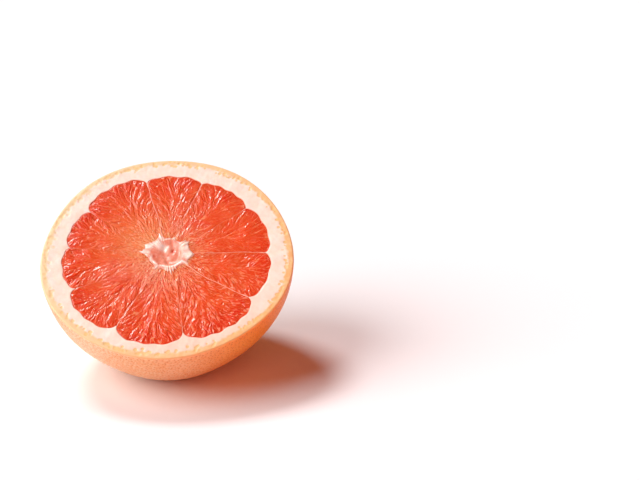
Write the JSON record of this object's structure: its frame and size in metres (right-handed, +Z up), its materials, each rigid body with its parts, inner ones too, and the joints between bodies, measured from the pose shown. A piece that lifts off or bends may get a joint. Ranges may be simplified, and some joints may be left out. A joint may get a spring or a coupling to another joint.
{
  "type": "halved grapefruit",
  "caption": "Half of a red grapefruit, cut across the middle to show its juicy segments, resting tilted on a small flat spot of its rind.",
  "frame": {"origin": "centre of the half's bounding box at its base, which is the plane of the flat spot that it rests on", "axes": "+Z up from the surface it rests on, -Y towards the viewer, the way the tilted cut face leans down, +X to the viewer's right, level along the cut face"},
  "size_m": [0.1092, 0.1026, 0.0774],
  "materials": {
    "rind": "satin, finely dimpled",
    "pith": "matte, faintly moist",
    "pulp": "wet and translucent"
  },
  "bodies": {
    "root": {"grapefruit_half": "rind"}
  },
  "joints": []
}
